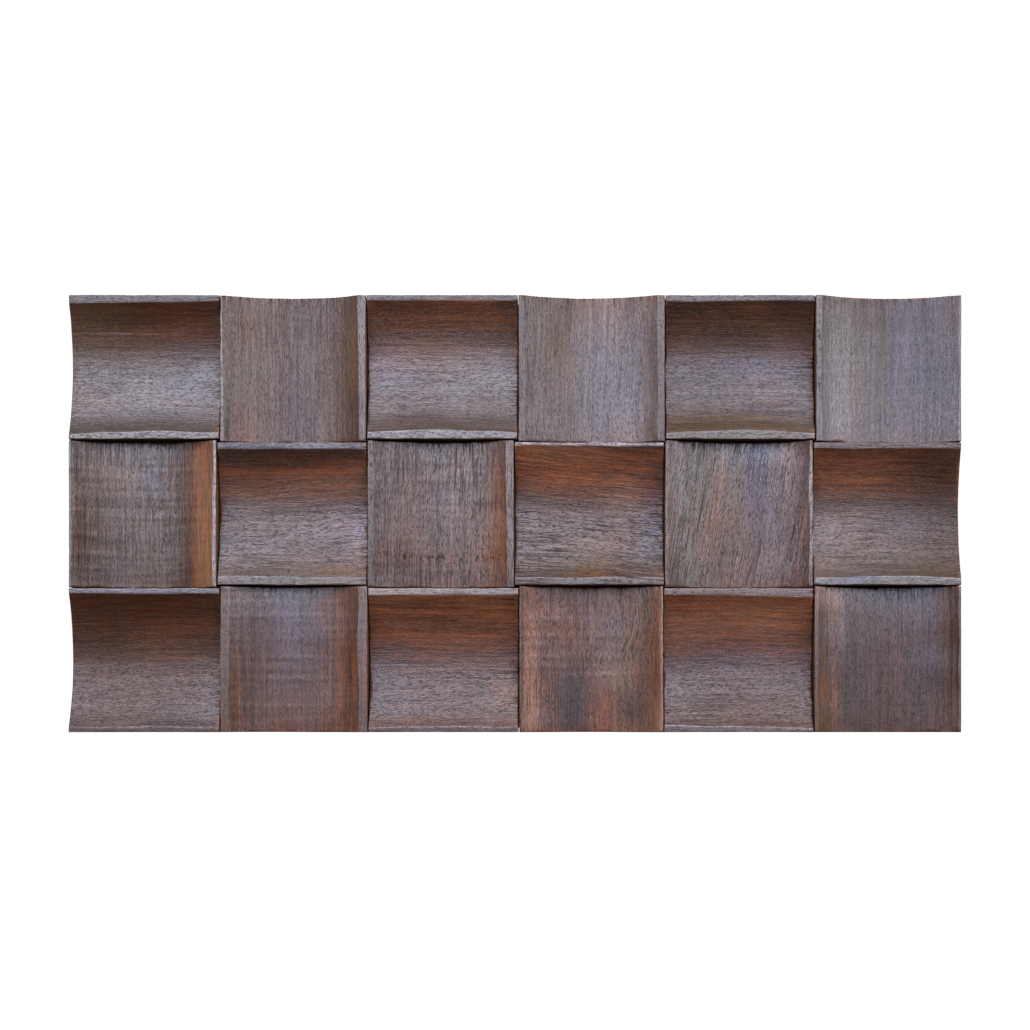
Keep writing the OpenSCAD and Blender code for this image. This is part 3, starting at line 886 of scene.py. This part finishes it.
def carved_wood():
    """Dark open-pored hardwood, thinly oiled. Its grain follows each block's own grain attribute."""
    n = Nodes("carved_wood")
    grain = n.attribute("grain").outputs["Vector"]
    pore, land, streak = n.value("pore"), n.value("land"), n.value("streak")
    glow, tone, rub = n.value("glow"), n.value("tone"), n.value("rub")
    polish, end, cool, fine = n.value("polish"), n.value("end"), n.value("cool"), n.value("fine")
    olive, grey = n.value("olive"), n.value("grey")

    fibre = n.noise(n.mapped(grain, (180, 2200, 2200)), detail=3, roughness=0.7)
    pores = n.noise(n.mapped(grain, (330, 2200, 2200), (3, 5, 7)), detail=1.0, roughness=0.4)
    fleck = n.noise(n.mapped(grain, (700, 1500, 1500), (1, 2, 3)), detail=2)
    weave = n.noise(n.mapped(grain, (1500, 260, 260), (2, 8, 5)), detail=2)
    cloud = n.noise(n.mapped(grain, (14, 45, 45), (9, 4, 2)), detail=2)

    open_pore = n.fit(pores, 0.56, 0.70, smooth=True)
    shade = n.maths("ADD", n.fit(fibre, 0.25, 0.75, -0.28, 0.28), streak)
    shade = n.maths("ADD", shade, n.fit(fleck, 0.3, 0.7, -0.15, 0.15))
    shade = n.maths("ADD", shade, n.fit(weave, 0.3, 0.7, -0.08, 0.08), clamp=True)
    brown = n.mix(shade, (0.018, 0.0075, 0.0035), (0.086, 0.039, 0.019))
    rust = n.mix(shade, (0.055, 0.014, 0.004), (0.185, 0.053, 0.016))
    warmth = n.maths("ADD", glow, n.fit(cloud, 0.3, 0.7, -0.07, 0.07), clamp=True)
    colour = n.mix(warmth, brown, rust)
    # low tone darkens toward near black: darker wood, and painted shade at the tops of the level scoops and
    # on the sides and back
    colour = n.mix(n.fit(tone, 0.0, 0.6, 0.75, 0.0), colour, (0.012, 0.005, 0.003))
    colour = n.mix(n.fit(tone, 0.6, 1.4, 0.0, 1.0), colour, (0.290, 0.130, 0.060))
    colour = n.mix(n.maths("MULTIPLY", olive, 0.25), colour, (0.060, 0.062, 0.024))
    colour = n.mix(grey, colour, (0.055, 0.042, 0.038))
    arris = n.maths("MULTIPLY", land, n.maths("MULTIPLY_ADD", land, -4.0, 4.0))
    colour = n.mix(n.maths("MULTIPLY", arris, 0.2), colour, (0.22, 0.165, 0.140))
    colour = n.mix(n.maths("MULTIPLY", rub, 0.25), colour, (0.22, 0.165, 0.140))
    colour = n.mix(n.maths("MULTIPLY", end, 0.7), colour, (0.27, 0.10, 0.035))
    little = n.maths("MULTIPLY", open_pore, n.maths("MULTIPLY", fine, 0.7))
    dark = n.maths("MAXIMUM", n.maths("MULTIPLY", pore, 0.92), little)
    colour = n.mix(dark, colour, (0.016, 0.009, 0.007))

    roughness = n.fit(fibre, 0.2, 0.8, 0.25, 0.35)
    roughness = n.maths("ADD", roughness, n.maths("MULTIPLY", dark, 0.28))
    roughness = n.maths("ADD", roughness, n.maths("MULTIPLY", n.value("sawn"), 0.35))
    height = n.maths("SUBTRACT", n.maths("MULTIPLY", fibre, 0.5), n.maths("MULTIPLY", open_pore, 1.0))
    n.set(Base_Color=colour, Roughness=roughness, Normal=n.bump(height, 0.08 * MM))
    gloss = n.maths("MULTIPLY", polish, n.fit(dark, 0.0, 1.0, 0.5, 0.08))
    gloss = n.maths("MULTIPLY", gloss, n.fit(cool, 0.0, 1.0, 1.0, 1.25))
    gloss = n.maths("MULTIPLY", gloss, n.fit(arris, 0.0, 1.0, 1.0, 1.2))
    tint = n.mix(land, (1, 1, 1), (1.0, 0.94, 0.88))
    n.set(Specular_Tint=n.mix(n.fit(cool, 0.0, 1.0), tint, (0.68, 0.80, 1.0)))
    mottle = n.maths("MULTIPLY", n.fit(fleck, 0.3, 0.7, -0.45, 0.45), n.fit(land, 0.0, 1.0, 0.5, 1.0))
    n.set(Specular_IOR_Level=n.maths("MULTIPLY", gloss, n.maths("ADD", mottle, 1.0)))
    n.shader.inputs["IOR"].default_value = 1.5
    return n.material


def plywood():
    """Birch plywood: seven plies whose grain turns a quarter from one to the next."""
    n = Nodes("birch_plywood")
    place = n.add("ShaderNodeTexCoord").outputs["Object"]
    parts = n.add("ShaderNodeSeparateXYZ")
    n.link(place, parts.inputs[0])
    low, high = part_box("backing_board")
    plies = 7
    layer = n.maths("MULTIPLY", parts.outputs["Y"], plies / (low.y - high.y))
    turned = n.fit(n.maths("PINGPONG", n.maths("FLOOR", layer), 1.0), 0.4, 0.6)
    level = n.noise(n.mapped(place, (18, 120, 420)), detail=4, roughness=0.6, distortion=0.3)
    upright = n.noise(n.mapped(place, (420, 120, 18)), detail=4, roughness=0.6, distortion=0.3)
    fine_level = n.noise(n.mapped(place, (160, 3000, 3000)), detail=2)
    fine_upright = n.noise(n.mapped(place, (3000, 3000, 160)), detail=2)
    light = n.mix(n.fit(level, 0.3, 0.7), (0.47, 0.315, 0.17), (0.68, 0.50, 0.31))
    light = n.mix(n.fit(fine_level, 0.52, 0.75, 0, 0.35), light, (0.33, 0.19, 0.095))
    deep = n.mix(n.fit(upright, 0.3, 0.7), (0.30, 0.17, 0.085), (0.47, 0.30, 0.165))
    deep = n.mix(n.fit(fine_upright, 0.52, 0.75, 0, 0.35), deep, (0.20, 0.105, 0.05))
    colour = n.mix(turned, light, deep)
    seam = n.maths("ABSOLUTE", n.maths("SUBTRACT", n.maths("FRACT", layer), 0.5))
    colour = n.mix(n.fit(seam, 0.45, 0.495, 0, 0.6), colour, (0.10, 0.05, 0.025))
    n.set(Base_Color=colour, Roughness=n.fit(fine_level, 0.2, 0.8, 0.62, 0.78))
    n.set(Normal=n.bump(n.maths("ADD", fine_level, fine_upright), 0.10 * MM, 0.7))
    return n.material


def plated(name, dull, bright, low, high):
    """Zinc-plated steel with cloudy plating and fine scratches."""
    n = Nodes(name)
    place = n.add("ShaderNodeTexCoord").outputs["Object"]
    cloud = n.noise(n.mapped(place, (900, 900, 900)), detail=3)
    scratch = n.noise(n.mapped(place, (5200, 900, 380), rotation=(0, 0.6, 0)), detail=2)
    n.set(Base_Color=n.mix(n.fit(cloud, 0.3, 0.7), dull, bright))
    n.set(Roughness=n.fit(scratch, 0.3, 0.7, low, high))
    n.set(Normal=n.bump(scratch, 0.01 * MM, 0.6))
    n.shader.inputs["Metallic"].default_value = 1.0
    return n.material


def dried_glue():
    """Wood glue that dried unevenly, amber to pale."""
    n = Nodes("dried_glue")
    place = n.add("ShaderNodeTexCoord").outputs["Object"]
    blot = n.noise(n.mapped(place, (160, 160, 160)), detail=3)
    n.set(Base_Color=n.mix(n.fit(blot, 0.3, 0.7), (0.50, 0.37, 0.17), (0.68, 0.57, 0.34)))
    n.set(Roughness=n.fit(blot, 0.2, 0.8, 0.3, 0.55), Normal=n.bump(blot, 0.3 * MM, 0.5))
    return n.material


def white_stage():
    """The floor's white, lit from within so that it stays white without much light."""
    n = Nodes("white_stage")
    place = n.add("ShaderNodeTexCoord").outputs["Object"]
    n.set(Base_Color=n.mix(n.noise(n.mapped(place, (2, 2, 2))), (0.86, 0.86, 0.86), (0.90, 0.90, 0.90)))
    n.shader.inputs["Roughness"].default_value = 0.85
    n.shader.inputs["Emission Color"].default_value = (1, 1, 1, 1)
    n.shader.inputs["Emission Strength"].default_value = 1.1
    return n.material


# ---------------------------------------------------------------- assembly

wood = carved_wood()
for number, name in enumerate(BLOCKS):
    block = worked_block(name, number)
    block.data.materials.append(wood)
    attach(block, "root")
    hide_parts(name)

yellow_zinc = plated("yellow_zinc", (0.50, 0.37, 0.13), (0.72, 0.60, 0.30), 0.32, 0.50)
bright_zinc = plated("bright_zinc", (0.55, 0.56, 0.58), (0.75, 0.76, 0.77), 0.40, 0.55)
FINISH = {
    "backing_board": plywood(),
    "glue_pads": dried_glue(),
    "block_screws": yellow_zinc,
    "hanger_left": bright_zinc,
    "hanger_right": bright_zinc,
    "hanger_screws": bright_zinc,
}
for node, material in FINISH.items():
    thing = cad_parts[node]
    for slot in thing.material_slots:
        slot.material = material

# ---------------------------------------------------------------- studio

VIEW_DISTANCE = 1.5  # from the lands to the camera
FRAME_WIDTH = 0.692  # what the picture takes in, in the plane of the lands
EYE = (0.036, -0.135)  # the camera stands right of the panel's middle and below it
AIM = (0.0, -0.001)  # what the middle of the picture shows
FLOOR_DROP = 0.55  # from the panel down to the floor
FLOOR_REACH = 40.0  # from the floor's middle to each of its sides


def camera():
    """A level camera, shifted so that the panel's verticals and levels stay true."""
    data = bpy.data.cameras.new("camera")
    data.sensor_width = 36
    data.lens = data.sensor_width * VIEW_DISTANCE / FRAME_WIDTH
    data.shift_x = (AIM[0] - EYE[0]) / FRAME_WIDTH
    data.shift_y = (AIM[1] - EYE[1]) / FRAME_WIDTH
    thing = bpy.data.objects.new("camera", data)
    thing.location = (EYE[0], FRONT - VIEW_DISTANCE, EYE[1])
    thing.rotation_euler = (math.radians(90), 0, 0)
    bpy.context.scene.collection.objects.link(thing)
    bpy.context.scene.camera = thing


def softbox(name, place, aim, size, power, colour):
    """A rectangular light at place that faces aim. size is (width, height), and power is in watts."""
    data = bpy.data.lights.new(name, "AREA")
    data.shape = "RECTANGLE"
    data.size, data.size_y = size
    data.energy = power
    data.color = colour
    thing = bpy.data.objects.new(name, data)
    thing.location = place
    thing.rotation_euler = (Vector(aim) - Vector(place)).to_track_quat("-Z", "Y").to_euler()
    bpy.context.scene.collection.objects.link(thing)


def lights():
    """One wide bluish softbox above the front, and one behind for the back."""
    softbox("key", (0.6, -1.25, 0.66), (0.6, 0, 0), (4.8, 1.4), 142, (0.77, 0.82, 1.0))
    softbox("back", (0.2, 1.7, 1.35), (0, 0, 0), (1.8, 1.1), 75, (1.0, 0.98, 0.95))


def surround():
    """A world that is white to the camera and gives the panel very little fill."""
    world = bpy.data.worlds.new("studio")
    world.use_nodes = True
    tree = world.node_tree
    tree.nodes.clear()
    out = tree.nodes.new("ShaderNodeOutputWorld")
    mix = tree.nodes.new("ShaderNodeMixShader")
    path = tree.nodes.new("ShaderNodeLightPath")
    fill = tree.nodes.new("ShaderNodeBackground")
    fill.inputs["Color"].default_value = (1.0, 0.96, 0.92, 1)
    fill.inputs["Strength"].default_value = 0.04
    white = tree.nodes.new("ShaderNodeBackground")
    white.inputs["Color"].default_value = (1, 1, 1, 1)
    white.inputs["Strength"].default_value = 1.05
    tree.links.new(path.outputs["Is Camera Ray"], mix.inputs[0])
    tree.links.new(fill.outputs[0], mix.inputs[1])
    tree.links.new(white.outputs[0], mix.inputs[2])
    tree.links.new(mix.outputs[0], out.inputs["Surface"])
    bpy.context.scene.world = world


def white_floor():
    """A floor far below the panel, which hangs clear of it and takes no light from it."""
    z = cad_box[0].z - FLOOR_DROP
    corners = [(x * FLOOR_REACH, y * FLOOR_REACH, z) for x, y in ((-1, -1), (1, -1), (1, 1), (-1, 1))]
    floor = make_mesh("floor", corners, [[0, 1, 2, 3]])
    floor.data.materials.append(white_stage())
    floor.visible_diffuse = False
    floor.visible_glossy = False


bpy.context.scene.view_settings.view_transform = "Standard"
bpy.context.scene.view_settings.look = "None"
camera()
lights()
surround()
white_floor()
